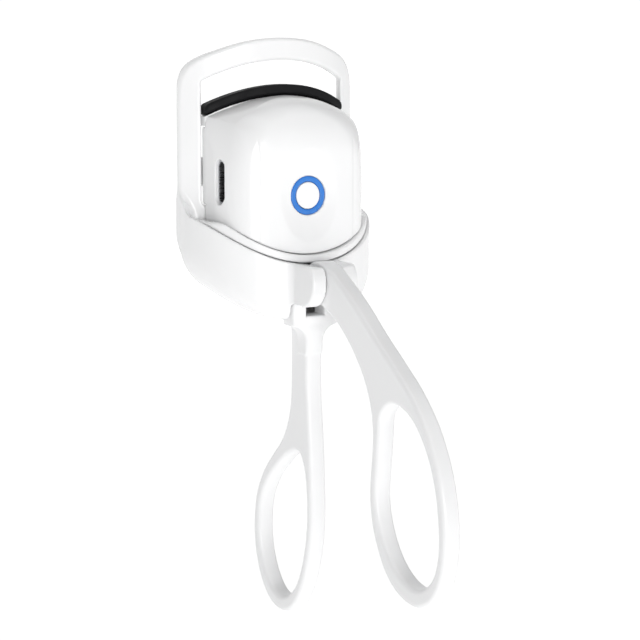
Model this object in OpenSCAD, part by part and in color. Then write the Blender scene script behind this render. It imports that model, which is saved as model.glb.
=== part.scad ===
// Heated eyelash curler: a lash frame moulded in one with a cup and a fixed finger
// handle, a hinged second handle, and a battery-powered heated head that the hinged
// handle lifts against the frame's top bar.
// Everything is drawn about the middle of the width, with +X across the jaw, +Y
// towards the eye and +Z up.  Heights and depths are first measured from the foot of
// the cup, then moved so that the centre of the fixed finger loop is the origin.

/* [Lash frame] */
// Overall width of the frame
frame_w = 41.9; // [41.5:0.1:42.5]
// Radius of the frame's front face, seen from above
frame_r = 34; // [33.8:0.1:34.2]
// Thickness of the frame band, front to back
frame_t = 2.1; // [1.9:0.1:2.2]
// Width of the opening between the posts
window_w = 33.2; // [33.2:0.1:33.6]
// Height of the top bar's underside at its middle
bar_z = 50; // [49.8:0.1:50.2]
// Radius of the crown on the top bar's underside and on the pad
crown_r = 34; // [33.8:0.1:34.2]
// Height of the rear wall's top edge, where the opening starts
window_z = 20; // [19.5:0.1:20.3]

/* [Cup] */
// Depth of the cup in front of the posts' outer edges
cup_d = 20.8; // [20.6:0.1:21]
// Wall thickness of the cup
cup_wall = 1.2; // [1.1:0.1:1.3]
// Height of the cup's rim at the middle of its front
rim_z = 8.6; // [8.3:0.1:8.7]
// Radius of the dip in the rim
rim_r = 27; // [26.9:0.1:27.2]

/* [Handles] */
// Thickness of both handles
handle_t = 4; // [3.9:0.05:4.1]
// Clear width of the hinge slot
slot_w = 4.2; // [4.2:0.05:4.4]
// Width across the hinge cheeks
cheek_w = 10.6; // [10.4:0.1:10.8]
// Radius of the rounded front of the cheeks
cheek_r = 5.1; // [5:0.1:5.2]
// Radius of the hinge pin
pin_r = 1.5; // [1.4:0.05:1.6]
// Radial running clearance of the hinge pin in the moving handle
pin_clear = 0.05; // [0.03:0.01:0.08]
// Radius of the lift pin at the end of the lever
lift_pin_r = 0.8; // [0.7:0.05:0.85]
// Swing of the moving handle from open to closed, in degrees
swing = 26; // [25:0.5:26]
// Rise of the heated head over that swing
rise = 4.9; // [4.7:0.05:4.9]

/* [Heated head] */
// Half of the head's width
head_a = 16.5; // [16.3:0.05:16.5]
// Radius of the head's front face about the frame's own centre
head_r = 45.66; // [45.5:0.02:45.7]
// Wall thickness of the head's shells
head_wall = 1.2; // [1.1:0.05:1.3]
// Height of the head's top edge at its middle
head_z = 43; // [42.8:0.1:43.1]
// Radius of the head's front corners, seen from above
corner_r = 5.2; // [5.1:0.05:5.2]
// Height of the parting line between front shell and base shell
parting_z = 10.4; // [10.3:0.1:10.6]
// Radius of the dip in the parting line
parting_r = 24.5; // [24.3:0.1:24.7]
// Height of the base shell's visible band
band_h = 1.6; // [1.5:0.05:1.65]
// Gap between the closed rear of the head and the frame
head_gap = 0.3; // [0.25:0.05:0.35]

/* [Button and port] */
// Height of the button's centre
button_z = 22.5; // [22.3:0.1:22.7]
// Radius of the moving button cap
button_r = 2.75; // [2.6:0.05:2.8]
// Outer radius of the light ring
ring_r = 4; // [3.95:0.05:4.1]
// Travel of the button
button_travel = 0.4; // [0.3:0.05:0.4]
// Height of the charging socket's centre
port_z = 25.3; // [25.1:0.1:25.5]
// Depth of the charging socket's centre
port_y = -9.7; // [-9.8:0.05:-9.6]

/* [Hidden] */
$fn = 96;

white = "#f4f4f5";
soft_black = "#1b1b1d";
steel = "#c8cbd0";
big = 120;                        // longer than anything it cuts
grip = [0, -9.8, -49];            // centre of the fixed finger loop
pivot = [0, -24.2, 5.4];          // hinge axis of the moving handle
half_w = frame_w / 2;
arc_y = sqrt(frame_r * frame_r - half_w * half_w);  // centre of the frame's arc
rear_r = frame_r + head_gap;      // rear of the head's shells
fit = 0.05;                       // play between parts that only touch
parting_gap = 0.06;
half_slot = slot_w / 2;
half_cheek = cheek_w / 2;
lever_r = rise / (2 * sin(swing / 2));      // pivot to lift pin
lift = [0, pivot[1] + lever_r * cos(swing / 2), pivot[2] - rise / 2];
dish_r = 44;                      // hollow of the thumb dish round the button
dish_y = -17.87;                  // deepest point of the dish
pad_gap = 5;                      // open jaw, pad to top bar
pad_top = bar_z - pad_gap;
seat_z = [1.1, 2.3];              // plate that the fixed handle is screwed to
screw_x = 3.75;                   // fixed handle's screws
screw_y = -18.2;
boss_x = 13.2;                    // back cover's screws
boss_z = [17.2, 34.6];
base_boss = [9, -14.2];           // base shell's screws
board_y = [-14.6, -13.6];
port_half = 3;                    // centre to centre of the socket's round ends, halved
port_r = 1.5;
socket_x = [-15.7, -10.4];        // mouth and end of the charging socket's cavity
corner_y = -12;                   // centre of the head's front corners
corner_face = 30;                 // direction in which the corner's profile is drawn
side_wall = [15.3, 16.45];        // front shell's side walls inside the window
flange_in = 0.6;                  // edge of the base shell inside the cup's outline
flange_top = 17.2;
skirt_z = 4.4;                    // lowest point of the base shell's skirt
pad_h = 2.4;                      // height of the silicone pad
pad_x = 16.4;                     // half lengths of pad, ledge and heater
ledge_x = 16.3;
heater_x = 15.4;
ledge_z = 36.5;
wire_x = 3;
wire_y = [-13.2, -6.3];
wire_z = 39;
pillar_r = 1.6;                   // pillars that the case screws bite into
base_pillar_r = 1.3;
base_pillar_z = [12.3, 17.1];
guide_x = [13.8, 15.2];           // guides that run between the posts
guide_z = [20.9, 32.9];
lip_x = 18.15;                    // lips behind the posts
lip_z = [23.9, 29.9];
fork_y = [-21.1, -16.5];          // the fixed handle's fork, front to back
fork_z = -4.2;
fork_fillet = 3.6;
hub_r = 3.7;                      // moving handle's hub and the lever's tip
tip_r = 2;
bracket_x = 3.1;                  // bracket that the lift pin runs in
pin_play = 0.2;
pin_drift = 0.14;                 // how far the lift pin wanders front to back
cell = [[-9, -12.8, 14.2], [11, -8.9, 34.6]];
tape = 0.15;                      // thickness of the tape round the cell
tape_z = [22, 27];
board_x = 12.4;
board_z = [18.9, 32.4];
board_hole = [10.9, 20.4];
flange_r = 5.2;                   // clear base of the light ring
led_ring = 4.1;
cup_power = 2.4;                  // squareness of the cup seen from above
switch_top = board_y[0] - 1;      // face that the button's plunger pushes

// A point on a smooth closed curve through four neighbouring points
function spline(a, b, c, d, t) = 0.5 * (2 * b + (c - a) * t
    + (2 * a - 5 * b + 4 * c - d) * t * t + (3 * b - a - 3 * c + d) * t * t * t);
function smooth(p, steps) = [for (i = [0:len(p) - 1], k = [0:steps - 1])
    spline(p[(i + len(p) - 1) % len(p)], p[i], p[(i + 1) % len(p)],
           p[(i + 2) % len(p)], k / steps)];
function mirrored(p) = concat(p, [for (i = [len(p) - 2:-1:1]) [-p[i][0], p[i][1]]]);
function scaled(p, c, k) = [for (q = p) c + (q - c) * k];
function power(v, n) = sign(v) * pow(abs(v), n);
function superellipse(a, b, n, from, to, steps) = [for (i = [0:steps])
    let (t = from + (to - from) * i / steps) [a * power(cos(t), 2 / n), b * power(sin(t), 2 / n)]];

// Moves what is measured from the cup's foot to the part's own origin
module placed() {
    translate(-grip) children();
}

// Extrudes an outline drawn in X and Z through the whole depth
module along_y(depth = big) {
    rotate([90, 0, 0]) linear_extrude(depth, center = true) children();
}

// Extrudes an outline drawn in Y and Z across the width
module along_x(width) {
    rotate([90, 0, 90]) linear_extrude(width, center = true) children();
}

// A round bar along X
module rod_x(r, width) {
    rotate([0, 90, 0]) cylinder(r = r, h = width, center = true);
}

// A round bar along Y from one depth to another
module rod_y(r, y0, y1) {
    translate([0, y0, 0]) rotate([-90, 0, 0]) cylinder(r = r, h = y1 - y0);
}

// A block given by its two corners
module block(lo, hi) {
    translate(lo) cube(hi - lo);
}

// Everything between two radii about the frame's own centre
module arc_band(r0, r1, z0 = -big, z1 = big) {
    translate([0, arc_y, z0]) difference() {
        cylinder(r = r1, h = z1 - z0, $fn = 180);
        translate([0, 0, -1]) cylinder(r = r0, h = z1 - z0 + 2, $fn = 180);
    }
}

// Everything above a dipped line with its lowest point at z
module above_dip(z, r = rim_r) {
    translate([0, 0, z + r]) {
        along_y() circle(r = r, $fn = 180);
        translate([-big / 2, -big / 2, 0]) cube(big);
    }
}

// Everything below a crowned line with its top at z
module below_crown(z) {
    translate([0, 0, z - crown_r]) along_y() circle(r = crown_r, $fn = 180);
}

// ---------------------------------------------------------------- frame and cup

frame_outline = mirrored([[0, 54.6], [7, 54], [13, 52.3], [17.8, 50.1], [20.3, 47],
    [half_w, 42], [half_w, 27], [half_w, 13.5], [19.8, 9], [16.8, 5.3], [13, 2.6],
    [7, 0.2], [0, -1.2]]);
cup_front = mirrored([[0, 40], [12, 40], [half_w, 38], [half_w, 26], [half_w, 15],
    [20.5, 9.6], [19, 5.7], [16, 2.2], [11.5, -1.1], [6, -3.4], [0, -4.1]]);
cup_side = [[8, 3.2], [-2, 2.4], [-6, 0], [-9.5, -2.8], [-14, -4.1], [-17.6, -3.2],
    [-19.9, -0.6], [-cup_d, 4], [-cup_d, 14], [-cup_d, 40], [-8, 44], [8, 40]];
cup_centre = [0, 24];

module cup_solid(k) {
    inset = (1 - k) * half_w;
    intersection() {
        translate([0, 0, -10]) linear_extrude(60)
            polygon(superellipse(half_w - inset, cup_d - inset, cup_power, -180, 180, 96));
        along_y() polygon(smooth(scaled(cup_front, cup_centre, k), 4));
        along_x(big) polygon(smooth(scaled(cup_side, cup_centre, k), 4));
        arc_band(frame_r - 0.2, 2 * frame_r);
    }
}

module frame_band() {
    difference() {
        intersection() {
            arc_band(frame_r - frame_t, frame_r);
            along_y() polygon(smooth(frame_outline, 5));
            translate([-big / 2, -big, -big / 2]) cube([big, big + 1, big]);
        }
        intersection() {
            below_crown(bar_z);
            along_y() translate([-window_w / 2, window_z]) square([window_w, 40]);
        }
    }
}

// The two cheeks of the hinge, as one block that the slot is cut from
module cheeks() {
    translate(pivot) rod_x(cheek_r, cheek_w);
    root = -19;
    foot = -2.6;
    fillet = 2;
    block([-half_cheek, pivot[1], pivot[2] - cheek_r], [half_cheek, root, pivot[2] + cheek_r]);
    block([-half_cheek, root - 1.4, foot], [half_cheek, root, 9]);
    for (s = [-1, 1]) scale([s, 1, 1]) translate([half_cheek, root - 3.2, foot])
        linear_extrude(12) difference() {
            translate([-0.3, 0]) square([fillet + 0.3, 3]);
            translate([fillet, 0]) circle(r = fillet);
        }
}

module frame_cup() {
    color(white) placed() difference() {
        union() {
            frame_band();
            difference() {
                union() {
                    cup_solid(1);
                    cheeks();
                }
                difference() {
                    cup_solid(1 - cup_wall / half_w);
                    block([-7, -30, -10], [7, -16.2, seat_z[1]]);
                    arc_band(1, frame_r);
                }
                difference() {
                    above_dip(rim_z);
                    arc_band(1, frame_r - 0.2);
                }
            }
        }
        block([-half_slot, -32, -2.1], [half_slot, -11.6, 14]);
        block([-half_cheek - fit, -24, -12], [half_cheek + fit, -16.4, seat_z[0]]);
        along_x(handle_t + 2 * fit) polygon(smooth(rear_outer, 4));
        translate(pivot) rod_x(pin_r, 2 * half_cheek - 1.6);
        for (s = [-1, 1]) translate([s * screw_x, screw_y, 0]) cylinder(r = 0.7, h = 5);
    }
}

// ------------------------------------------------------------------- fixed handle

rear_outer = [[-20.6, -3.9], [-20.6, -11], [-20.7, -18.5], [-21.7, -29], [-22.3, -39.7],
    [-22.2, -47], [-20.9, -54], [-18.2, -60.6], [-14.2, -65.6], [-9.4, -67.6], [-4.4, -66.6],
    [-0.4, -63], [2.2, -57.6], [3.1, -51.6], [2.1, -44.4], [-0.9, -38.6], [-5.2, -34],
    [-9.3, -30], [-12, -25.6], [-13.4, -20.5], [-13.7, -13], [-13.7, -7], [-13.7, -3.9]];
rear_opening = [[-16.6, -31.4], [-19.1, -34.8], [-20.1, -41], [-20, -47], [-18.7, -53.4],
    [-16.1, -59.4], [-12.7, -63], [-9, -64.4], [-5.2, -63.4], [-2.2, -60.4], [-0.1, -56],
    [0.6, -51], [-0.2, -45.4], [-2.9, -40.6], [-7, -36.6], [-12.2, -32.8]];

module rear_handle() {
    color(white) placed() difference() {
        union() {
            along_x(handle_t) polygon(smooth(rear_outer, 4));
            block([-half_cheek, fork_y[0], fork_z], [half_cheek, fork_y[1], fork_z + 3]);
            for (s = [-1, 1]) translate([s * (half_cheek + 2) / 2, 0, 0]) {
                x = (half_cheek - 2) / 2;
                block([-x, fork_y[0], fork_z], [x, fork_y[1], seat_z[0] - 1.2]);
                translate([0, 0, seat_z[0] - x - fit]) rod_y(x, fork_y[0], fork_y[1]);
            }
            // fillets between the fork and the stem
            for (s = [-1, 1]) scale([s, 1, 1]) translate([0, fork_y[0], 0]) rotate([-90, 0, 0])
                linear_extrude(fork_y[1] - fork_y[0]) difference() {
                    translate([1, -fork_z - 0.3]) square([half_cheek - 1, fork_fillet]);
                    translate([2 + fork_fillet, fork_fillet - fork_z]) circle(r = fork_fillet);
                }
        }
        along_x(handle_t + 1) polygon(smooth(rear_opening, 4));
        block([-half_slot, -25, -2.1], [half_slot, -10, 4]);
        for (s = [-1, 1]) translate([s * screw_x, screw_y, -3]) cylinder(r = 0.6, h = 5);
    }
}

// Two small screws that hold the fixed handle's fork under the cup's seat
module handle_screws() {
    color(steel) placed() for (s = [-1, 1]) translate([s * screw_x, screw_y, 0]) {
        translate([0, 0, -2.6]) cylinder(r = 0.6, h = 2.6 + seat_z[1]);
        difference() {
            translate([0, 0, seat_z[1]]) cylinder(r = 1.1, h = 0.7);
            translate([0, 0, seat_z[1] + 0.5]) cylinder(r = 0.45, h = 1, $fn = 6);
        }
    }
}

module hinge_pin() {
    color(steel) placed() translate(pivot) rod_x(pin_r, 2 * half_cheek - 1.6);
}

// ------------------------------------------------------------------ moving handle

front_outer = [[-22.5, 8.2], [-27.9, 8.9], [-33.4, 6.3], [-39.5, 2.6], [-46.5, -2.6],
    [-53.5, -7.4], [-60.2, -12.3], [-66, -18.4], [-70.2, -25.7], [-72.4, -33.4], [-72.7, -40.4],
    [-71.3, -46.8], [-68, -51.4], [-62.6, -53.8], [-56.6, -52.9], [-51.4, -49.5],
    [-47.6, -43.8], [-45.7, -38], [-45.5, -32], [-46.3, -25], [-45.9, -18.6],
    [-43.2, -12.5], [-38.6, -7], [-33.2, -2.6], [-28.2, 0.2], [-23, 2.6]];
front_opening = [[-53.4, -15.4], [-57.6, -15.9], [-62, -18.4], [-66.4, -23.8], [-69.1, -30.4],
    [-70.2, -37.4], [-69.9, -42.8], [-67.8, -47.2], [-63.6, -49.9], [-58.6, -49.6],
    [-54, -47], [-50.7, -43.2], [-48.6, -38.6], [-47.9, -34], [-48.5, -28.6], [-49.1, -23],
    [-49.8, -18.2]];

// The lever that reaches back from the hub to the lift pin, as one tapered outline
function lever_outline(steps) =
    let (tilt = atan2(lift[2] - pivot[2], lift[1] - pivot[1]),
         taper = asin((hub_r - tip_r) / lever_r))
    concat(
        [for (i = [0:steps]) let (a = tilt + 90 - taper + i * (180 + 2 * taper) / steps)
            [pivot[1], pivot[2]] + hub_r * [cos(a), sin(a)]],
        [for (i = [0:steps]) let (a = tilt - 90 + taper + i * (180 - 2 * taper) / steps)
            [lift[1], lift[2]] + tip_r * [cos(a), sin(a)]]);

module front_handle() {
    color(white) placed() difference() {
        union() {
            along_x(handle_t) polygon(smooth(front_outer, 4));
            along_x(handle_t) polygon(lever_outline(24));
        }
        along_x(handle_t + 1) polygon(smooth(front_opening, 4));
        translate(pivot) rod_x(pin_r + pin_clear, handle_t + 1);
        translate(lift) rod_x(lift_pin_r, handle_t + 1);
    }
}

module lift_pin() {
    color(steel) placed() translate(lift) rod_x(lift_pin_r, 7.6);
}

// -------------------------------------------------------------------- heated head

// The head's outline from above, inset all round by o
function head_plan(o) = mirrored(concat([[0, 4], [head_a - o, 4]],
    [for (t = [0:6:72]) [head_a - corner_r + (corner_r - o) * cos(t),
                         corner_y - (corner_r - o) * sin(t)]],
    [[0, corner_y - (corner_r - o + (head_a - corner_r) * cos(72)) / sin(72)]]));

// The rounding of the head's top front corners, as distance out and height
function head_corner(o) = [for (q = smooth([[0, 45], [7, 44.1], [11, 42.8], [14, 41.2],
    [16.4, 39.6], [17.7, 38.2], [19, 36.5], [19.9, 34.5], [20.6, 32], [21.1, 28],
    [21.4, 22], [21.4, 10], [21.4, -12], [-30, -12], [-30, 45]], 4)) q - [o, o]];

// The head's full outer form inset by o, open to the rear at radius r0
module head_solid(o, r0) {
    crest = rear_r + 1;
    shoulder = 11.5;
    intersection() {
        translate([0, 0, -10]) linear_extrude(60) polygon(head_plan(o));
        below_crown(head_z - o);
        rotate([0, 0, -corner_face]) along_y() polygon(head_corner(o));
        rotate([0, 0, corner_face]) scale([-1, 1, 1]) along_y() polygon(head_corner(o));
        translate([0, arc_y, 0]) rotate_extrude($fn = 180) polygon(concat(
            [[r0, -10], [r0, head_z]],
            [for (q = superellipse(head_r - o - crest, shoulder, 2.2, 90, 0, 12))
                q + [crest, head_z - o - shoulder]],
            [[head_r - o, -10]]));
    }
}

// The charging socket's round-ended outline
module port_outline(r) {
    for (s = [-1, 1]) translate([0, s * port_half]) circle(r = r);
    translate([-r, -port_half]) square([2 * r, 2 * port_half]);
}

// Screw pillars inside the front shell
module pillars() {
    for (s = [-1, 1]) {
        for (z = boss_z) difference() {
            translate([s * boss_x, 0, z]) rod_y(pillar_r, -16, -6.3);
            arc_band(1, rear_r + 1.1 + fit);
        }
        translate([s * base_boss[0], base_boss[1], base_pillar_z[0]]) {
            height = base_pillar_z[1] - base_pillar_z[0];
            cylinder(r = base_pillar_r, h = height);
            block([-base_pillar_r, -3, 0], [base_pillar_r, 0, height]);
        }
    }
}

module head_front_shell() {
    color(white) placed() difference() {
        union() {
            intersection() {
                head_solid(0, rear_r);
                above_dip(parting_z + parting_gap, parting_r);
                union() {
                    difference() {
                        head_solid(-1, 10);
                        difference() {
                            head_solid(head_wall, 20);
                            translate([0, dish_y - dish_r, button_z])
                                sphere(r = dish_r + head_wall);
                        }
                    }
                    pillars();
                }
            }
            // the side walls carried on between the posts
            intersection() {
                arc_band(frame_r - 1, rear_r + 1);
                union() for (s = [-1, 1]) block(
                    [min(s * side_wall[0], s * side_wall[1]), -20, window_z + 0.3],
                    [max(s * side_wall[0], s * side_wall[1]), 0, window_z + 16.3]);
            }
        }
        translate([0, dish_y - dish_r, button_z]) sphere(r = dish_r);
        translate([0, 0, button_z]) rod_y(ring_r + 0.05, -25, -14);
        for (s = [-1, 1]) for (z = boss_z) translate([s * boss_x, 0, z]) rod_y(0.6, -12, 0);
        for (s = [-1, 1]) translate([s * base_boss[0], base_boss[1], 5]) cylinder(r = 0.6, h = 10.5);
        translate([-20, port_y, port_z]) rotate([90, 0, 90]) linear_extrude(9)
            port_outline(port_r + 0.1);
    }
}

// The edge of the base shell that covers the cup's rim
module flange() {
    intersection() {
        linear_extrude(flange_top) polygon(superellipse(
            half_w - flange_in, cup_d - flange_in, cup_power, -180, 180, 96));
        arc_band(rear_r, 2 * frame_r);
    }
}

module head_base_shell() {
    color(white) placed() difference() {
        union() {
            difference() {
                intersection() {
                    union() {
                        head_solid(0, rear_r);
                        flange();
                    }
                    above_dip(parting_z - band_h);
                }
                above_dip(parting_z, parting_r);
            }
            difference() {
                intersection() {
                    head_solid(1, rear_r);
                    above_dip(skirt_z);
                }
                head_solid(2, rear_r + 1);
                above_dip(parting_z - 0.5, parting_r);
                block([-5, -30, 0], [5, -15, parting_z - band_h + 0.2]);
            }
            for (s = [-1, 1]) block([s * bracket_x - 0.7, -16, lift[2] - 1.7],
                                    [s * bracket_x + 0.7, -10.9, parting_z - 0.4]);
        }
        // the slot that the lift pin runs in
        translate(lift + [0, pin_drift, 0]) {
            r = lift_pin_r + 0.1;
            for (y = [-pin_play, pin_play]) translate([0, y, 0]) rod_x(r, 9);
            block([-4.5, -pin_play, -r], [4.5, pin_play, r]);
        }
        for (s = [-1, 1]) translate([s * base_boss[0], base_boss[1], 5]) cylinder(r = 0.7, h = 9);
    }
}

module head_back_cover() {
    color(white) placed() difference() {
        union() {
            // the cover itself, let in between the front shell's side walls
            intersection() {
                head_solid(head_wall + 0.05, rear_r - 0.1);
                above_dip(parting_z + parting_gap, parting_r);
                arc_band(rear_r - 0.1, rear_r + 1.1);
            }
            // the ledge that carries the pad
            intersection() {
                arc_band(frame_r - 2, rear_r - fit, ledge_z, bar_z);
                below_crown(pad_top - pad_h - 0.02);
                block([-ledge_x, -20, ledge_z], [ledge_x, 0, bar_z]);
            }
            // guides that run between the posts, with a lip behind each
            for (s = [-1, 1]) scale([s, 1, 1]) {
                intersection() {
                    arc_band(frame_r - 2.7, rear_r - fit);
                    block([guide_x[0], -25, guide_z[0]], [guide_x[1], 5, guide_z[1]]);
                }
                intersection() {
                    arc_band(frame_r - 2.7, frame_r - 2.3);
                    block([guide_x[0] + 0.45, -25, lip_z[0]], [lip_x, 5, lip_z[1]]);
                }
            }
        }
        // bed of the heater plate and the ways for its two wires
        intersection() {
            arc_band(frame_r - 1.7, frame_r - 0.1, 30, 50);
            difference() {
                block([-heater_x - 0.2, -20, 30], [heater_x + 0.2, 0, 50]);
                below_crown(pad_top - 3.6);
            }
        }
        for (x = [-wire_x, wire_x]) {
            translate([x, 0, wire_z]) rod_y(0.45, -14, wire_y[1] + 0.1);
            translate([x, wire_y[1], wire_z - 0.5]) cylinder(r = 0.45, h = 8);
        }
        for (s = [-1, 1]) for (z = boss_z) translate([s * boss_x, 0, z]) {
            rod_y(0.7, -12, 0);
            rod_y(1.2, -5.4, 0);
        }
    }
}

module lash_pad() {
    color(soft_black) placed() difference() {
        intersection() {
            arc_band(frame_r - 2, frame_r + 0.9, 30, 60);
            below_crown(pad_top);
            block([-pad_x, -20, 30], [pad_x, 0, 60]);
        }
        below_crown(pad_top - pad_h);
        intersection() {
            below_crown(head_z + fit);
            arc_band(frame_r + 0.15, 2 * frame_r);
        }
    }
}

module heater_plate() {
    color("#b9bcc2") placed() difference() {
        intersection() {
            arc_band(frame_r - 1.6, frame_r - 0.2, 30, 60);
            below_crown(pad_top - pad_h - fit);
            block([-heater_x, -20, 30], [heater_x, 0, 60]);
        }
        below_crown(pad_top - 3.5);
    }
}

module heater_wires() {
    r = 0.35;
    drop = 6.4;
    color("#c23b34") placed() for (x = [-wire_x, wire_x]) translate([x, 0, wire_z]) {
        rod_y(r, wire_y[0], wire_y[1]);
        translate([0, wire_y[1], 0]) cylinder(r = r, h = 2.2);
        translate([0, wire_y[0], -drop]) cylinder(r = r, h = drop);
        for (y = wire_y) translate([0, y, 0]) sphere(r = r);
    }
}

module battery_cell() {
    color("#a9adb3") placed() {
        block(cell[0], cell[1]);
        block([cell[0][0] + 2, -11.6, cell[1][2]], [cell[1][0] - 2, -10.2, cell[1][2] + 1.2]);
    }
}

module battery_tape() {
    color("#d9b13b") placed() difference() {
        block([cell[0][0] - tape, cell[0][1] - tape, tape_z[0]],
              [cell[1][0] + tape, cell[1][1] + tape, tape_z[1]]);
        block([cell[0][0], cell[0][1], tape_z[0] - 1], [cell[1][0], cell[1][1], tape_z[1] + 1]);
    }
}

module circuit_board() {
    color("#1f6b45") placed() difference() {
        block([-board_x, board_y[0], board_z[0]], [board_x, board_y[1], board_z[1]]);
        for (s = [-1, 1]) translate([s * board_hole[0], 0, board_hole[1]]) rod_y(0.6, -16, -12);
    }
}

module charge_chip() {
    color("#26272b") placed() {
        block([5.5, board_y[0] - 0.9, 24], [9.5, board_y[0], 28]);
        block([-9, board_y[0] - 0.7, 20], [-6.4, board_y[0], 22.6]);
        for (z = [26, 27.6, 29.2]) block([-8.6, board_y[0] - 0.5, z], [-6.8, board_y[0], z + 0.9]);
    }
}

module usb_socket() {
    color(steel) placed() translate([socket_x[0], port_y, port_z]) rotate([90, 0, 90])
        difference() {
            linear_extrude(socket_x[1] - socket_x[0] + 0.8) port_outline(port_r);
            translate([0, 0, -1]) linear_extrude(socket_x[1] - socket_x[0] + 1)
                port_outline(port_r - 0.3);
        }
}

module usb_tongue() {
    color(soft_black) placed() translate([0, port_y, port_z])
        block([socket_x[0] + 0.7, -0.35, -3.35], [socket_x[1], 0.35, 3.35]);
}

module tact_switch() {
    color(steel) placed() translate([0, 0, button_z]) {
        block([-2, board_y[0] - 0.7, -2], [2, board_y[0], 2]);
        rod_y(1, switch_top, board_y[0] - 0.7);
    }
}

module light_ring() {
    color("#2f7be0") placed() translate([0, 0, button_z]) difference() {
        union() {
            rod_y(ring_r, -17.95, -16.5);
            rod_y(flange_r, -16.6, -16.2);
        }
        rod_y(button_r + 0.1, -19, -15);
        rod_y(3.45, -16.65, -15);
    }
}

module ring_leds() {
    color("#f2efe2") placed() for (a = [45:90:315])
        translate([led_ring * cos(a), board_y[0] - 0.3, button_z + led_ring * sin(a)])
            cube([1, 0.6, 1], center = true);
}

// Four screws from behind that hold the back cover to the front shell
module case_screws() {
    color(steel) placed() for (s = [-1, 1]) for (z = boss_z) translate([s * boss_x, 0, z]) {
        rod_y(0.6, -11.8, -5.4);
        difference() {
            rod_y(1.1, -5.4, -4.9);
            translate([0, -5.1, 0]) rotate([-90, 0, 0]) cylinder(r = 0.5, h = 1, $fn = 6);
        }
    }
}

// Two screws from below that hold the base shell
module base_screws() {
    top = parting_z + rim_r - band_h - sqrt(rim_r * rim_r - pow(base_boss[0] - 1.1, 2));
    color(steel) placed() for (s = [-1, 1])
        translate([s * base_boss[0], base_boss[1], top - 0.8]) {
            cylinder(r = 1.1, h = 0.8);
            cylinder(r = 0.6, h = 5.2);
        }
}

module button_cap() {
    color(white) placed() translate([0, 0, button_z]) {
        rod_y(button_r, -18, -16.6);
        rod_y(3.3, -16.62, -16.2);
        rod_y(1, -16.2, switch_top - button_travel - fit);
    }
}

frame_cup();
rear_handle();
hinge_pin();
handle_screws();
front_handle();
lift_pin();
head_front_shell();
head_base_shell();
head_back_cover();
lash_pad();
heater_plate();
heater_wires();
battery_cell();
battery_tape();
circuit_board();
charge_chip();
usb_socket();
usb_tongue();
tact_switch();
light_ring();
ring_leds();
case_screws();
base_screws();
button_cap();
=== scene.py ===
import math

import bpy
import numpy as np
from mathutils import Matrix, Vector

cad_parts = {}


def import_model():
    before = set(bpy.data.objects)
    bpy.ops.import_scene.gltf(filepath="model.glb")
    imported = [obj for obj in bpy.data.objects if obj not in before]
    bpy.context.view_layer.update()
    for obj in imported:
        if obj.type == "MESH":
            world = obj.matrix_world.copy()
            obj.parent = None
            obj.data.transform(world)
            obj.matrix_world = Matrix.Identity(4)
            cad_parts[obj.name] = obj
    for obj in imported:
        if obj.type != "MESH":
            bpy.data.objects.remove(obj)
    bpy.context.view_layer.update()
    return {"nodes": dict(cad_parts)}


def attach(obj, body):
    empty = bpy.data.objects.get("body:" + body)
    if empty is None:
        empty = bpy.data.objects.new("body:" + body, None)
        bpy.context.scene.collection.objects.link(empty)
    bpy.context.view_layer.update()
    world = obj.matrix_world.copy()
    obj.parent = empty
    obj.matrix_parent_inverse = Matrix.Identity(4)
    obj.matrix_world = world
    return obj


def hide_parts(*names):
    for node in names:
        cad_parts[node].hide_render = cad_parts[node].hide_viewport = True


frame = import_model()

# Every shape below is drawn in millimetres from the foot of the cup, as the CAD source
# does it, with +X across the jaw, +Y towards the eye and +Z up.  SHIFT takes that place
# to the frame's own origin, the centre of the fixed finger loop.
SHIFT = np.array([0.0, 9.8, 49.0])
MM = 0.001

# Lash frame and cup
HALF_W = 20.95                            # half width of both
FRAME_R, FRAME_T = 34.0, 2.1              # outer radius of the frame's arc, and its thickness
FRAME_END_Y = 1.0                         # where the frame's two ends are cut off
ARC_Y = math.sqrt(FRAME_R ** 2 - HALF_W ** 2)
WINDOW_HALF, WINDOW_Z, BAR_Z = 16.6, 20.0, 50.0
CROWN_R = 34.0                            # arch of the top bar, the pad and the head
CUP_D, CUP_WALL, CUP_POWER = 20.8, 1.2, 2.4
RIM_Z, RIM_R = 8.6, 27.0                  # lowest point and radius of the dipped rim
CLIMB, CLIMB_Y, CLIMB_RUN = 2.4, -5.2, 3.2  # rise of the rim's ends up to the posts
SEAT_HALF, SEAT_Y, SEAT_Z, SEAT_FOOT = 7.0, -16.2, 2.3, 1.1  # plate over the handle's fork
GAP = 0.05                                # play on each side of a joint

# Hinge
PIVOT = (-24.2, 5.4)
CHEEK_R, HALF_CHEEK, CHEEK_ROOT = 5.1, 5.3, -17.0
HALF_SLOT, SLOT_Z, SLOT_END = 2.1, -2.1, -11.6
HUB_R, TIP_R, HINGE_R, LIFT_R = 3.7, 2.0, 1.5, 0.8
PIN_HALF = 4.5
RISE, SWING = 4.9, math.radians(26)       # lift of the head and turn of the moving handle
LEVER_R = RISE / (2 * math.sin(SWING / 2))
LIFT = (PIVOT[0] + LEVER_R * math.cos(SWING / 2), PIVOT[1] - RISE / 2)

# Handles
HANDLE_T = 4.0
FORK_Y, EAR_X, EAR_HALF, EAR_TOP = -18.8, 3.65, 1.65, 1.05
FORK_FOOT, STEM_HALF, STEM_END = -4.2, 2.0, -10.0

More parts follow.
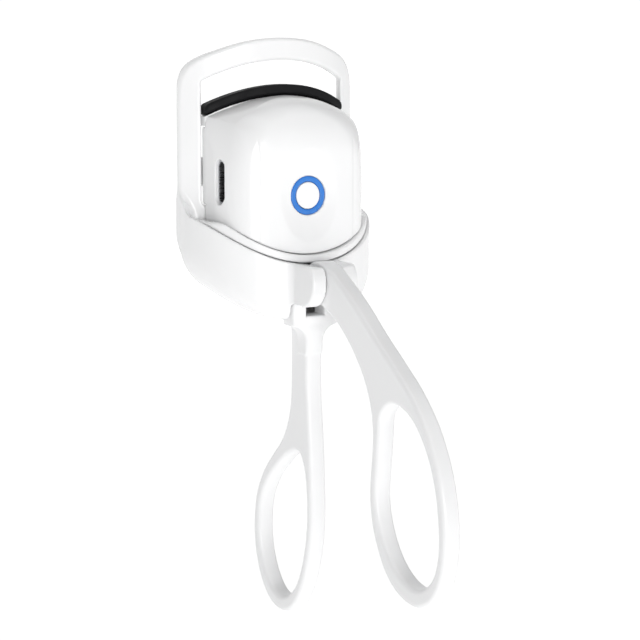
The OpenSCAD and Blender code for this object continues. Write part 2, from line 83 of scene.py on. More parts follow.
# Heated head
HEAD_A, HEAD_R, HEAD_Z, HEAD_WALL = 16.5, 45.66, 43.0, 1.2
CORNER_R, CORNER_Y, CORNER_FACE = 5.3, -12.0, math.radians(30)
PARTING_Z, PARTING_R, BAND_H = 10.4, 24.5, 1.6  # dipped seam and the light band under it
REAR_R = 34.3                             # where the head's shells end, seen from above
FLANGE_IN, FLANGE_TOP = 0.6, 17.2
SKIRT_Z = 4.4
SIDE_WALL_X, SIDE_WALL_R = 15.88, 34.15
BUTTON_Z, DISH_R, DISH_Y, RING_R = 22.5, 44.0, -17.87, 4.0
PORT_Y, PORT_Z, PORT_HALF, PORT_R = -9.7, 25.3, 3.0, 1.5
PAD_TOP, PAD_H, PAD_HALF, PAD_LIP, PAD_INNER_R = 45.0, 2.4, 16.4, 0.9, 32.0


# ------------------------------------------------------------------ distance fields

def smooth(points, steps=12):
    """A closed smooth curve through the points, with that many steps between two of them."""
    p = np.array(points, float)
    a, b, c, d = (np.roll(p, s, 0)[:, None] for s in (1, 0, -1, -2))
    t = (np.arange(steps) / steps)[None, :, None]
    q = 0.5 * (2 * b + (c - a) * t + (2 * a - 5 * b + 4 * c - d) * t ** 2
               + (3 * b - a - 3 * c + d) * t ** 3)
    return q.reshape(-1, 2)


def mirrored(points):
    """The points of one half, from the top to the bottom middle, with their mirror image."""
    return list(points) + [(-x, z) for x, z in points[-2:0:-1]]


def superellipse(a, b, n, start, end, steps):
    """An arc of a superellipse with half axes a and b and power n, from and to an angle."""
    t = np.radians(np.linspace(start, end, steps + 1))
    c, s = np.cos(t), np.sin(t)
    return np.stack([a * np.sign(c) * np.abs(c) ** (2 / n),
                     b * np.sign(s) * np.abs(s) ** (2 / n)], 1)


class Outline:
    """Signed distance to a closed curve, negative inside, read from a fine table."""
    STEP = 0.2
    MARGIN = 4.0

    def __init__(self, line):
        line = np.array(line, float)
        self.lo = line.min(0) - self.MARGIN
        n = np.ceil((line.max(0) + self.MARGIN - self.lo) / self.STEP).astype(int) + 1
        self.hi = self.lo + (n - 1) * self.STEP
        u = (self.lo[0] + np.arange(n[0]) * self.STEP)[:, None]
        v = (self.lo[1] + np.arange(n[1]) * self.STEP)[None, :]
        far = np.full(n, 1e9)
        inside = np.zeros(n, bool)
        for (ax, ay), (bx, by) in zip(line, np.roll(line, -1, 0)):
            dx, dy = bx - ax, by - ay
            length = dx * dx + dy * dy
            if length < 1e-12:
                continue
            t = np.clip(((u - ax) * dx + (v - ay) * dy) / length, 0, 1)
            far = np.minimum(far, (u - ax - t * dx) ** 2 + (v - ay - t * dy) ** 2)
            if dy:
                crosses = (v > min(ay, by)) & (v <= max(ay, by))
                inside ^= crosses & (u < ax + (v - ay) * dx / dy)
        self.table = np.sqrt(far) * np.where(inside, -1, 1)

    def __call__(self, u, v):
        u, v = np.broadcast_arrays(np.asarray(u, float), np.asarray(v, float))
        cu, cv = np.clip(u, self.lo[0], self.hi[0]), np.clip(v, self.lo[1], self.hi[1])
        beyond = np.hypot(u - cu, v - cv)
        weights, starts = [], []
        for w, lo, size in ((cu, self.lo[0], self.table.shape[0]),
                            (cv, self.lo[1], self.table.shape[1])):
            at = (w - lo) / self.STEP
            i = np.clip(np.floor(at).astype(int), 1, size - 3)
            t = at - i
            weights.append(((-t + 2 * t * t - t ** 3) / 2, (2 - 5 * t * t + 3 * t ** 3) / 2,
                            (t + 4 * t * t - 3 * t ** 3) / 2, (t ** 3 - t * t) / 2))
            starts.append(i - 1)
        total = 0
        for i in range(4):
            for j in range(4):
                total = total + weights[0][i] * weights[1][j] * self.table[starts[0] + i,
                                                                         starts[1] + j]
        return total + beyond


def common(a, b, r=0.0):
    """What lies in both, with the edge between them rounded to radius r."""
    if np.isscalar(r) and not r:
        return np.maximum(a, b)
    return (np.minimum(np.maximum(a, b), -r)
            + np.hypot(np.maximum(a + r, 0), np.maximum(b + r, 0)))


def joined(a, b, r=0.0):
    """Both together, with a fillet of radius r where they meet."""
    return -common(-a, -b, r)


def without(a, b, r=0.0):
    """What lies in a but not in b, with its edge rounded to radius r."""
    return common(a, -b, r)


def ramp(v, lo, hi):
    """A smooth rise from 0 at lo to 1 at hi."""
    t = np.clip((v - lo) / (hi - lo), 0, 1)
    return t * t * (3 - 2 * t)


def rect(u, v, cu, cv, hu, hv, r=0.0):
    """A rectangle about (cu, cv) with half sides hu and hv and round corners."""
    return common(np.abs(u - cu) - hu, np.abs(v - cv) - hv, r)


def rod(y, z, centre, radius):
    return np.hypot(y - centre[0], z - centre[1]) - radius


def about_arc(x, y):
    """Distance from the upright axis that the frame is bent round."""
    return np.hypot(x, y - ARC_Y)


def above_dip(x, z, height, radius=RIM_R):
    """Negative above the dipped line that the rim and the parting follow."""
    up = height + radius
    return np.where(z < up, np.hypot(x, z - up) - radius, np.abs(x) - radius)


def crown(x, z, top):
    """Negative under the arch whose middle is at that height."""
    return np.hypot(x, z - (top - CROWN_R)) - CROWN_R


# ------------------------------------------------------------------- mesh from a field

CORNERS = [(i, j, k) for i in (0, 1) for j in (0, 1) for k in (0, 1)]
EDGES = [(a, b) for a in range(8) for b in range(a + 1, 8)
         if sum(abs(CORNERS[a][i] - CORNERS[b][i]) for i in range(3)) == 1]


def surface_of(field, lo, hi, cell):
    """Vertices, quads and normals of the field's zero surface on a grid of that cell."""
    lo, hi = np.array(lo, float), np.array(hi, float)
    n = np.ceil((hi - lo) / cell).astype(int) + 1
    axes = [lo[i] + cell * np.arange(n[i]) for i in range(3)]
    value = field(axes[0][:, None, None], axes[1][None, :, None], axes[2][None, None, :])
    value = np.ascontiguousarray(np.broadcast_to(value, n))
    inside = value < 0
    count = sum(inside[i:n[0] - 1 + i, j:n[1] - 1 + j, k:n[2] - 1 + k].astype(np.int8)
                for i, j, k in CORNERS)
    active = np.argwhere((count > 0) & (count < 8))
    number = np.full(n - 1, -1, int)
    number[tuple(active.T)] = np.arange(len(active))
    at = np.stack([value[tuple((active + c).T)] for c in CORNERS], 1)
    total, hits = np.zeros((len(active), 3)), np.zeros(len(active))
    for a, b in EDGES:
        va, vb = at[:, a], at[:, b]
        cut = (va < 0) != (vb < 0)
        t = np.where(cut, va / np.where(cut, va - vb, 1), 0)[:, None]
        point = np.array(CORNERS[a]) * (1 - t) + np.array(CORNERS[b]) * t
        total += np.where(cut[:, None], point, 0)
        hits += cut
    points = lo + cell * (active + total / hits[:, None])
    quads = []
    for axis in range(3):
        p, q = (axis + 1) % 3, (axis + 2) % 3
        low = [slice(1, -1)] * 3
        low[axis] = slice(0, n[axis] - 1)
        high = list(low)
        high[axis] = slice(1, n[axis])
        here, there = inside[tuple(low)], inside[tuple(high)]
        for flip in (False, True):
            where = np.argwhere((here & ~there) if not flip else (there & ~here))
            offset = np.ones(3, int)
            offset[axis] = 0
            where = where + offset
            step_p, step_q = np.zeros(3, int), np.zeros(3, int)
            step_p[p], step_q[q] = 1, 1
            ring = [where - step_p - step_q, where - step_q, where, where - step_p]
            ids = np.stack([number[tuple(c.T)] for c in ring], 1)
            quads.append(ids[:, ::-1] if flip else ids)
    quads = np.concatenate(quads)

    def gradient(at, h):
        g = np.empty_like(at)
        for axis in range(3):
            d = np.zeros(3)
            d[axis] = h
            up, down = (at + d).T, (at - d).T
            g[:, axis] = (field(*up) - field(*down)) / (2 * h)
        return g

    ends = np.concatenate([quads[:, [i, (i + 1) % 4]] for i in range(4)])
    ends = np.concatenate([ends, ends[:, ::-1]])
    degree = np.bincount(ends[:, 0], minlength=len(points))[:, None]
    for turn in range(4):
        if turn < 3:
            near = np.zeros_like(points)
            for axis in range(3):
                near[:, axis] = np.bincount(ends[:, 0], points[ends[:, 1], axis], len(points))
            points = points + 0.5 * (near / np.maximum(degree, 1) - points)
        for _ in range(2):
            g = gradient(points, 0.05)
            step = field(*points.T)[:, None] * g / np.maximum((g * g).sum(1), 0.2)[:, None]
            size = np.linalg.norm(step, axis=1)[:, None]
            points = points - step * np.minimum(1, 0.5 * cell / np.maximum(size, 1e-9))
    normals = gradient(points, 0.08)
    normals /= np.maximum(np.linalg.norm(normals, axis=1), 1e-9)[:, None]
    return points, quads, normals


def piece(name, field, lo, hi, cell, body, stands_for, material):
    """A smooth piece made from a field, riding on its body in place of its CAD node."""
    points, quads, normals = surface_of(field, lo, hi, cell)
    mesh = bpy.data.meshes.new(name)
    mesh.from_pydata(((points + SHIFT) * MM).tolist(), [], quads.tolist())
    mesh.polygons.foreach_set("use_smooth", np.ones(len(quads), bool))
    mesh.normals_split_custom_set_from_vertices(normals.tolist())
    mesh.materials.append(material)
    mesh.update()
    ob = bpy.data.objects.new(name, mesh)
    bpy.context.scene.collection.objects.link(ob)
    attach(ob, body)
    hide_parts(*stands_for)
    return ob


# ---------------------------------------------------------------------------- shapes

# Closed outlines in (x, z), or in (y, z) for the sides of the cup and the handles
frame_outline = Outline(smooth(mirrored([
    (0, 54.6), (7, 54.0), (13, 52.3), (17.8, 50.1), (20.3, 47), (HALF_W, 42), (HALF_W, 27),
    (HALF_W, 13.5), (19.8, 9), (16.8, 5.3), (13, 2.6), (7, 0.2), (0, -1.2)])))
cup_front = Outline(smooth(mirrored([
    (0, 46), (12, 46), (25, 42), (25.2, 26), (24.4, 15.5), (22.0, 10.2), (19.5, 6.1), (16.2, 2.2),
    (11.5, -1.1), (6, -3.4), (0, -4.1)])))
cup_side = Outline(smooth([
    (8, 3.2), (-2, 2.4), (-6, 0), (-9.5, -2.8), (-14, -4.1), (-17.8, -3.4), (-20.6, -0.6),
    (-22.4, 4), (-24.4, 14), (-25, 40), (-8, 46), (8, 42)]))
cup_plan = Outline(superellipse(HALF_W, CUP_D, CUP_POWER, -180, 180, 480)[:-1])


def lash_frame(x, y, z):
    slab = np.abs(about_arc(x, y) - (FRAME_R - FRAME_T / 2)) - FRAME_T / 2
    window = common(common(np.abs(x) - WINDOW_HALF, crown(x, z, BAR_Z), 0.3), WINDOW_Z - z, 1.0)
    shape = without(frame_outline(x, z), window)
    return common(common(slab, shape, 0.75), y - FRAME_END_Y, 0.5)


def cup(x, y, z):
    outer = common(common(cup_plan(x, y), cup_front(x, z), 2.0), cup_side(y, z), 2.0)
    behind = FRAME_R - 2 * GAP - about_arc(x, y)
    seat = common(common(np.abs(x) - SEAT_HALF, y - SEAT_Y, 0.3), z - SEAT_Z, 0.3)
    cavity = without(outer + CUP_WALL, seat, 0.3)
    return without(common(outer, behind), cavity)


def cheeks(x, y, z):
    disc = joined(rod(y, z, PIVOT, CHEEK_R),
                  rect(y, z, (PIVOT[0] + CHEEK_ROOT) / 2, PIVOT[1] - 0.2,
                       (CHEEK_ROOT - PIVOT[0]) / 2, CHEEK_R - 0.2))
    foot = rect(y, z, -19.6, 2.0, 0.9, 4.6)
    return common(joined(disc, foot), np.abs(x) - HALF_CHEEK, 0.55)


def frame_cup(x, y, z):
    body = joined(cup(x, y, z), cheeks(x, y, z), 1.6)
    climb = CLIMB * np.clip((y - CLIMB_Y) / CLIMB_RUN, 0, 1) ** 2
    body = without(body, above_dip(x, z - climb, RIM_Z), 0.4)
    slot = common(common(np.abs(x) - HALF_SLOT, SLOT_Z - z), y - SLOT_END)
    body = without(body, slot, 0.15)
    ears = common(np.abs(x) - HALF_CHEEK - GAP, z - SEAT_FOOT, 1.5)
    body = without(body, common(ears, rect(y, z, -20.2, 0, 3.8, 30)), 0.5)
    body = without(body, common(handle_side(y, z), np.abs(x) - HANDLE_T / 2 - GAP))
    fillet = 0.35 + 2.0 * ramp(z, 10, 14)
    body = joined(body, lash_frame(x, y, z), fillet)
    body = common(body, np.abs(x) - HALF_W, 0.4)
    return without(body, common(rod(y, z, PIVOT, HINGE_R), np.abs(x) - PIN_HALF))


handle_side = Outline(smooth([
    (-20.6, -3.9), (-20.6, -11), (-20.7, -18.5), (-21.7, -29), (-22.3, -39.7), (-22.2, -47),
    (-20.9, -54), (-18.2, -60.6), (-14.2, -65.6), (-9.4, -67.6), (-4.4, -66.6), (-0.4, -63),
    (2.2, -57.6), (3.1, -51.6), (2.1, -44.4), (-0.9, -38.6), (-5.2, -34), (-9.3, -30),
    (-12, -25.6), (-13.4, -20.5), (-13.7, -13), (-13.7, -7), (-13.7, -3.9)]))
handle_loop = Outline(smooth([
    (-16.6, -31.4), (-19.1, -34.8), (-20.1, -41), (-20, -47), (-18.7, -53.4), (-16.1, -59.4),
    (-12.7, -63), (-9, -64.4), (-5.2, -63.4), (-2.2, -60.4), (-0.1, -56), (0.6, -51),
    (-0.2, -45.4), (-2.9, -40.6), (-7, -36.6), (-12.2, -32.8)]))
arm_side = Outline(smooth([
    (-22.5, 8.2), (-27.9, 8.9), (-33.4, 6.3), (-39.5, 2.6), (-46.5, -2.6), (-53.5, -7.4),
    (-60.2, -12.3), (-66, -18.4), (-70.2, -25.7), (-72.4, -33.4), (-72.7, -40.4),
    (-71.3, -46.8), (-68, -51.4), (-62.6, -53.8), (-56.6, -52.9), (-51.4, -49.5),
    (-47.6, -43.8), (-45.7, -38), (-45.5, -32), (-46.3, -25), (-45.9, -18.6), (-43.2, -12.5),
    (-38.6, -7), (-33.2, -2.6), (-28.2, 0.2), (-23, 2.6)]))
arm_loop = Outline(smooth([
    (-53.4, -15.4), (-57.6, -15.9), (-62, -18.4), (-66.4, -23.8), (-69.1, -30.4),
    (-70.2, -37.4), (-69.9, -42.8), (-67.8, -47.2), (-63.6, -49.9), (-58.6, -49.6),
    (-54, -47), (-50.7, -43.2), (-48.6, -38.6), (-47.9, -34), (-48.5, -28.6), (-49.1, -23),
    (-49.8, -18.2)]))


def rear_handle(x, y, z):
    side = without(handle_side(y, z), handle_loop(y, z))
    handle = common(side, np.abs(x) - HANDLE_T / 2, 0.95)
    u = np.abs(x)
    ear = common(np.abs(u - EAR_X) - EAR_HALF, z - EAR_TOP, 1.5)
    ear = common(ear, FORK_FOOT - z, 0.4)
    base = common(u - HALF_CHEEK, np.abs(z + 2.7) - 1.5, 0.5)
    stem = common(u - STEM_HALF, np.abs(z + 5.6) - (-5.6 - STEM_END))
    fork = joined(joined(ear, base), stem, 3.4)
    fork = without(fork, common(u - HALF_SLOT, SLOT_Z - z), 0.25)
    fork = common(fork, np.abs(y - FORK_Y) - 1.8 - 0.5 * ramp(z, STEM_END, -4), 0.5)
    return joined(handle, fork, 0.5)


def front_handle(x, y, z):
    hub = rod(y, z, PIVOT, HUB_R)
    dy, dz = LIFT[0] - PIVOT[0], LIFT[1] - PIVOT[1]
    t = np.clip(((y - PIVOT[0]) * dy + (z - PIVOT[1]) * dz) / (dy * dy + dz * dz), 0, 1)
    lever = (np.hypot(y - PIVOT[0] - t * dy, z - PIVOT[1] - t * dz)
             - (HUB_R + (TIP_R - HUB_R) * t))
    side = joined(joined(arm_side(y, z), hub, 1.5), lever, 0.8)
    side = without(side, arm_loop(y, z))
    body = common(side, np.abs(x) - HANDLE_T / 2, 0.95 - 0.6 * ramp(y, -31, -27))
    body = without(body, rod(y, z, PIVOT, HINGE_R + GAP))
    return without(body, rod(y, z, LIFT, LIFT_R))


# The head's corner seen square on, as distance out along CORNER_FACE and height
head_corner = Outline(smooth([
    (0, 45), (7, 44.1), (11, 42.8), (14, 41.2), (16.4, 39.6), (17.7, 38.2), (19, 36.5),
    (19.9, 34.5), (20.6, 32), (20.95, 28.7), (21.1, 24.5), (21.1, 18), (21.1, 0),
    (21.1, -12), (0, -12), (-20, -12), (-20, 20), (-20, 45)]))
# Its section from the rear to the front, as distance from the arc's axis and height
CREST, SHOULDER = REAR_R + 1.0, 11.5
head_section = Outline(np.concatenate([
    [(20, -12), (20, HEAD_Z)],
    superellipse(HEAD_R - CREST, SHOULDER, 2.2, 90, 0, 60) + (CREST, HEAD_Z - SHOULDER),
    [(HEAD_R, -12)]]))


def head_plan(x, y):
    """Flat sides and round corners that run into the curved front."""
    u, v = np.abs(x) - HEAD_A + CORNER_R, CORNER_Y - y
    return np.hypot(np.maximum(u, 0), np.maximum(v, 0)) + np.minimum(u, 0) - CORNER_R


def head_form(x, y, z):
    """The head's solid form, before it is hollowed and parted."""
    section = head_section(about_arc(x, y), z)
    form = common(head_plan(x, y), common(crown(x, z, HEAD_Z), section, 0.5), 0.35)
    out = np.abs(x) * math.cos(CORNER_FACE) - y * math.sin(CORNER_FACE)
    return common(form, head_corner(out, z), 3.0)


def dish(x, y, z):
    return np.sqrt(x ** 2 + (y - DISH_Y + DISH_R) ** 2 + (z - BUTTON_Z) ** 2) - DISH_R


def head_shell(x, y, z):
    solid = without(head_form(x, y, z), dish(x, y, z), 0.12)
    shell = without(solid, solid + HEAD_WALL)
    shell = common(shell, above_dip(x, z, PARTING_Z + 0.12, PARTING_R), 0.3)
    shell = common(shell, REAR_R - about_arc(x, y), 0.3)
    ring = common(np.hypot(x, z - BUTTON_Z) - RING_R - 0.04, y + 14)
    shell = without(shell, ring, 0.12)
    wall = common(rect(np.abs(x), z, SIDE_WALL_X, WINDOW_Z + 8.3, 0.57, 8.0, 0.2),
                  np.abs(about_arc(x, y) - SIDE_WALL_R) - 1.15)
    shell = joined(shell, wall)
    along = np.maximum(np.abs(z - PORT_Z) - PORT_HALF, 0)
    port = common(np.hypot(y - PORT_Y, along) - PORT_R - 0.1, x + 11)
    return without(shell, port, 0.2)


def base_shell(x, y, z):
    form = head_form(x, y, z)
    flange = common(cup_plan(x, y) + FLANGE_IN, z - FLANGE_TOP, 0.5)
    floor = common(common(joined(form, flange, 0.4), above_dip(x, z, PARTING_Z - BAND_H), 0.2),
                   -above_dip(x, z, PARTING_Z - 0.02, PARTING_R), 0.35)
    skirt = without(form + 1.0, form + 2.0)
    skirt = common(skirt, above_dip(x, z, SKIRT_Z), 0.2)
    skirt = common(skirt, -above_dip(x, z, PARTING_Z - 0.5, PARTING_R))
    front = common(common(np.abs(x) - 5, y + 15), z - (PARTING_Z - BAND_H) - 0.2)
    skirt = without(skirt, front, 0.2)
    return common(joined(floor, skirt), REAR_R - about_arc(x, y), 0.2)


def lash_pad(x, y, z):
    out = about_arc(x, y)
    slab = common(PAD_INNER_R - out, out - FRAME_R - PAD_LIP)
    foot = PAD_TOP - PAD_H
    under = np.where(out > REAR_R - 0.1, HEAD_Z + GAP, foot)
    above = np.maximum(-crown(x, z, foot), -crown(x, z, under))
    shape = common(common(crown(x, z, PAD_TOP), above), np.abs(x) - PAD_HALF, 0.8)
    return common(slab, shape, 0.45)


def light_ring(x, y, z):
    r = np.hypot(x, z - BUTTON_Z)
    front = common(np.abs(r - RING_R + 0.575) - 0.575, np.abs(y + 17.2) - 0.75, 0.25)
    collar = common(np.abs(r - RING_R - 0.35) - 0.85, np.abs(y + 16.4) - 0.2)
    return joined(front, collar)


def button_cap(x, y, z):
    r = np.hypot(x, z - BUTTON_Z)
    dome = np.sqrt(r ** 2 + (y - 12) ** 2) - 30.05
    cap = common(common(r - 2.75, dome), np.abs(y + 17.3) - 0.8, 0.3)
    collar = common(r - 3.3, np.abs(y + 16.41) - 0.2)
    return joined(cap, collar)


# ------------------------------------------------------------------------- materials

def material(name):
    m = bpy.data.materials.new(name)
    m.use_nodes = True
    nodes = m.node_tree.nodes
    return m, nodes, m.node_tree.links, nodes["Principled BSDF"]


def noise(nodes, links, scale, detail, coords):
    """Noise in object space, scale in cycles per metre."""
    n = nodes.new("ShaderNodeTexNoise")
    n.inputs["Scale"].default_value = scale
    n.inputs["Detail"].default_value = detail
    links.new(coords.outputs["Object"], n.inputs["Vector"])
    return n


def spread(nodes, links, source, low, high, start=0.35, end=0.65):
    """The source's range from start to end mapped onto low to high."""
    m = nodes.new("ShaderNodeMapRange")
    m.inputs["From Min"].default_value = start
    m.inputs["From Max"].default_value = end
    m.inputs["To Min"].default_value = low
    m.inputs["To Max"].default_value = high
    links.new(source, m.inputs["Value"])
    return m.outputs["Result"]


def tint(nodes, links, source, a, b, start=0.35, end=0.65):
    """A colour that goes from a to b as the source goes from start to end."""
    ramp_node = nodes.new("ShaderNodeValToRGB")
    ramp_node.color_ramp.elements[0].position = start
    ramp_node.color_ramp.elements[1].position = end
    ramp_node.color_ramp.elements[0].color = (*a, 1)
    ramp_node.color_ramp.elements[1].color = (*b, 1)
    links.new(source, ramp_node.inputs["Fac"])
    return ramp_node.outputs["Color"]


def bump(nodes, links, shader, source, strength, distance):
    b = nodes.new("ShaderNodeBump")
    b.inputs["Strength"].default_value = strength
    b.inputs["Distance"].default_value = distance
    links.new(source, b.inputs["Height"])
    links.new(b.outputs["Normal"], shader.inputs["Normal"])


def moulded(name, a, b, rough, grain, strength, coat=0.0, metallic=0.0, shine=0.5):
    """Moulded plastic: faint flow marks in colour, uneven gloss and a fine orange peel."""
    m, nodes, links, shader = material(name)
    coords = nodes.new("ShaderNodeTexCoord")
    flow = noise(nodes, links, 45, 2, coords)
    links.new(tint(nodes, links, flow.outputs["Fac"], a, b, 0.2, 0.8),
              shader.inputs["Base Color"])
    wear = noise(nodes, links, 420, 5, coords)
    links.new(spread(nodes, links, wear.outputs["Fac"], *rough), shader.inputs["Roughness"])
    peel = noise(nodes, links, grain, 2, coords)
    bump(nodes, links, shader, peel.outputs["Fac"], strength, 0.00008)
    shader.inputs["Coat Weight"].default_value = coat
    shader.inputs["Coat Roughness"].default_value = 0.08
    shader.inputs["Metallic"].default_value = metallic
    shader.inputs["Specular IOR Level"].default_value = shine
    return m


white_gloss = moulded("white_gloss", (0.872, 0.874, 0.878), (0.888, 0.89, 0.893),
                      (0.2, 0.27), 900, 0.03, coat=0.25)
white_handle = moulded("white_handle", (0.868, 0.87, 0.875), (0.88, 0.882, 0.886),
                       (0.3, 0.34), 800, 0.015, coat=0.1)
white_cap = moulded("white_cap", (0.88, 0.882, 0.886), (0.92, 0.922, 0.925),
                    (0.26, 0.33), 1500, 0.1)
silicone = moulded("silicone", (0.006, 0.006, 0.007), (0.012, 0.012, 0.013),
                   (0.5, 0.66), 4200, 0.35, shine=0.15)
black = moulded("black_plastic", (0.012, 0.012, 0.013), (0.02, 0.02, 0.022),
                (0.4, 0.55), 3000, 0.3)
blue = moulded("ring_blue", (0.012, 0.165, 0.58), (0.02, 0.2, 0.66), (0.2, 0.28), 1600, 0.1,
               coat=0.3)
led = moulded("led_white", (0.8, 0.78, 0.6), (0.86, 0.84, 0.7), (0.25, 0.35), 2500, 0.1)
wire = moulded("wire_red", (0.45, 0.03, 0.02), (0.55, 0.05, 0.03), (0.4, 0.5), 2000, 0.2)
tape = moulded("tape_yellow", (0.62, 0.36, 0.03), (0.72, 0.44, 0.05), (0.3, 0.42), 1200, 0.3)


def metal(name, a, b, rough, lines, anisotropy=0.0):
    """Metal with fine drawn lines along X and uneven polish."""
    m, nodes, links, shader = material(name)
    coords = nodes.new("ShaderNodeTexCoord")
    stretch = nodes.new("ShaderNodeMapping")
    stretch.inputs["Scale"].default_value = (0.06, 1, 1)
    links.new(coords.outputs["Object"], stretch.inputs["Vector"])
    drawn = nodes.new("ShaderNodeTexNoise")
    drawn.inputs["Scale"].default_value = lines
    drawn.inputs["Detail"].default_value = 4
    links.new(stretch.outputs["Vector"], drawn.inputs["Vector"])
    links.new(tint(nodes, links, drawn.outputs["Fac"], a, b), shader.inputs["Base Color"])
    links.new(spread(nodes, links, drawn.outputs["Fac"], *rough), shader.inputs["Roughness"])
    bump(nodes, links, shader, drawn.outputs["Fac"], 0.2, 0.00004)
    shader.inputs["Metallic"].default_value = 1.0
    shader.inputs["Anisotropic"].default_value = anisotropy
    return m


steel = metal("pin_steel", (0.5, 0.51, 0.53), (0.62, 0.63, 0.65), (0.22, 0.36), 5200, 0.3)
aluminium = metal("heater_aluminium", (0.66, 0.67, 0.69), (0.76, 0.77, 0.79), (0.3, 0.45), 4000)
foil = metal("cell_foil", (0.52, 0.53, 0.55), (0.66, 0.67, 0.69), (0.25, 0.5), 900)


def board_finish():
    """Solder mask with a darker net of tracks under it."""
    m, nodes, links, shader = material("board_green")
    coords = nodes.new("ShaderNodeTexCoord")
    tracks = nodes.new("ShaderNodeTexBrick")
    tracks.inputs["Scale"].default_value = 500
    tracks.inputs["Mortar Size"].default_value = 0.03
    tracks.inputs["Color1"].default_value = (0.012, 0.11, 0.045, 1)
    tracks.inputs["Color2"].default_value = (0.018, 0.14, 0.06, 1)
    tracks.inputs["Mortar"].default_value = (0.04, 0.25, 0.11, 1)
    links.new(coords.outputs["Object"], tracks.inputs["Vector"])
    links.new(tracks.outputs["Color"], shader.inputs["Base Color"])
    grain = noise(nodes, links, 2600, 3, coords)
    links.new(spread(nodes, links, grain.outputs["Fac"], 0.25, 0.4), shader.inputs["Roughness"])
    bump(nodes, links, shader, tracks.outputs["Fac"], 0.3, 0.00004)
    return m


board = board_finish()

for node, finish in {
        "head_back_cover": white_gloss, "hinge_pin": steel, "handle_screws": steel,
        "lift_pin": steel, "case_screws": steel, "base_screws": steel, "usb_socket": steel,
        "tact_switch": steel, "heater_plate": aluminium, "heater_wires": wire,
        "battery_cell": foil, "battery_tape": tape, "circuit_board": board,
        "charge_chip": black, "usb_tongue": black, "ring_leds": led}.items():
    slots = frame["nodes"][node].data.materials
    for i in range(len(slots)):
        slots[i] = finish

# ---------------------------------------------------------------------------- pieces

CELL = 0.38        # grid of the large pieces
PAD_CELL, SMALL_CELL = 0.3, 0.15
piece("frame_and_cup", frame_cup, (-22, -30.5, -5.5), (22, 3, 56), CELL, "frame",
      ["frame_cup"], white_gloss)
piece("fixed_handle", rear_handle, (-6.3, -23.5, -69), (6.3, 4.5, 2.5), CELL, "frame",
      ["rear_handle"], white_handle)
piece("moving_handle_arm", front_handle, (-3, -74, -55.5), (3, -10, 12), CELL,
      "moving_handle", ["front_handle"], white_handle)
piece("head_shell", head_shell, (-19.5, -20.5, 8), (19.5, 1, 44.5), CELL, "heated_head",
      ["head_front_shell"], white_gloss)
piece("head_base", base_shell, (-21, -21, 3), (21, 1, 20), CELL, "heated_head",
      ["head_base_shell"], white_gloss)
piece("silicone_pad", lash_pad, (-17.5, -9.5, 36), (17.5, 2, 46), PAD_CELL, "heated_head",
      ["lash_pad"], silicone)
piece("button_ring", light_ring, (-6, -18.6, 16.5), (6, -15.4, 28.5), SMALL_CELL,
      "heated_head", ["light_ring"], blue)
piece("button_face", button_cap, (-4, -18.8, 18.5), (4, -15.6, 26.5), SMALL_CELL,
      "power_button", ["button_cap"], white_cap)

# ------------------------------------------------------------------- floor and lights

FLOOR_Z, FLOOR_HALF = -0.055, 6.0         # metres, in the frame's own axes


def floor():
    """A plain pale floor that glows a little more away from the part, up to the horizon."""
    m, nodes, links, shader = material("floor")
    coords = nodes.new("ShaderNodeTexCoord")
    grain = noise(nodes, links, 30, 3, coords)
    links.new(tint(nodes, links, grain.outputs["Fac"], (0.955, 0.955, 0.955),
                   (0.965, 0.965, 0.965)), shader.inputs["Base Color"])
    shader.inputs["Roughness"].default_value = 0.9
    shader.inputs["Specular IOR Level"].default_value = 0.0
    shader.inputs["Emission Color"].default_value = (1, 1, 1, 1)
    apart = nodes.new("ShaderNodeVectorMath")
    apart.operation = "LENGTH"
    links.new(coords.outputs["Object"], apart.inputs[0])
    glow = spread(nodes, links, apart.outputs["Value"], 0.45, 0.72, 0.1, 0.9)
    links.new(glow, shader.inputs["Emission Strength"])
    mesh = bpy.data.meshes.new("floor")
    corners = [(-1, -1), (1, -1), (1, 1), (-1, 1)]
    mesh.from_pydata([(i * FLOOR_HALF, j * FLOOR_HALF, FLOOR_Z) for i, j in corners],
                     [], [(0, 1, 2, 3)])
    mesh.materials.append(m)
    ob = bpy.data.objects.new("floor", mesh)
    bpy.context.scene.collection.objects.link(ob)


floor()


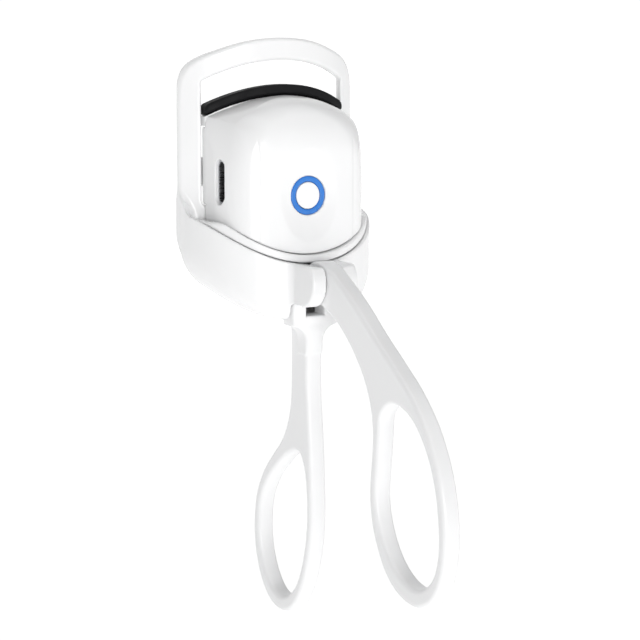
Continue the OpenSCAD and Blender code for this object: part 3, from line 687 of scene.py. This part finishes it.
def world():
    """White surroundings behind the part, dimmer at both sides and in front of it."""
    w = bpy.data.worlds.new("studio")
    bpy.context.scene.world = w
    w.use_nodes = True
    nodes, links = w.node_tree.nodes, w.node_tree.links
    back = nodes["Background"]
    coords = nodes.new("ShaderNodeTexCoord")
    parts = nodes.new("ShaderNodeSeparateXYZ")
    links.new(coords.outputs["Generated"], parts.inputs["Vector"])
    along = spread(nodes, links, parts.outputs["Y"], 0, 1, -1, 1)
    shade = nodes.new("ShaderNodeValToRGB")
    stops = [(0.0, 0.4), (0.2, 0.3), (0.5, 0.1), (0.72, 0.36), (0.85, 0.97), (1.0, 0.97)]
    stops_of = shade.color_ramp.elements
    while len(stops_of) < len(stops):
        stops_of.new(0.5)
    for stop, (at, grey) in zip(stops_of, stops):
        stop.position = at
        stop.color = (grey, grey, grey, 1)
    links.new(along, shade.inputs["Fac"])
    links.new(shade.outputs["Color"], back.inputs["Color"])
    back.inputs["Strength"].default_value = 1.08


world()


def softbox(name, place, target, size, power):
    data = bpy.data.lights.new(name, "AREA")
    data.shape = "RECTANGLE"
    data.size, data.size_y = size
    data.energy = power
    ob = bpy.data.objects.new(name, data)
    ob.location = place
    ob.rotation_mode = "QUATERNION"
    ob.rotation_quaternion = (Vector(target) - Vector(place)).to_track_quat("-Z", "Y")
    bpy.context.scene.collection.objects.link(ob)


softbox("front", (-0.26, -1.0, 0.08), (0, -0.02, 0.0), (0.4, 0.4), 4.1)
softbox("overhead", (0.1, -0.25, 1.0), (0, -0.02, 0.0), (1.0, 1.0), 3.2)

# ---------------------------------------------------------------------------- camera

CAMERA_PLACE = (-0.2136, -0.3830, 0.1085)
CAMERA_TARGET = (0.0, -0.0130, 0.0462)

camera = bpy.data.cameras.new("camera")
camera.sensor_width = 36.0
camera.lens = 118.1
camera.clip_start, camera.clip_end = 0.01, 20.0
camera_ob = bpy.data.objects.new("camera", camera)
camera_ob.location = CAMERA_PLACE
camera_ob.rotation_mode = "QUATERNION"
camera_ob.rotation_quaternion = (
    Vector(CAMERA_TARGET) - Vector(CAMERA_PLACE)).to_track_quat("-Z", "Y")
bpy.context.scene.collection.objects.link(camera_ob)
bpy.context.scene.camera = camera_ob
bpy.context.scene.view_settings.view_transform = "Standard"
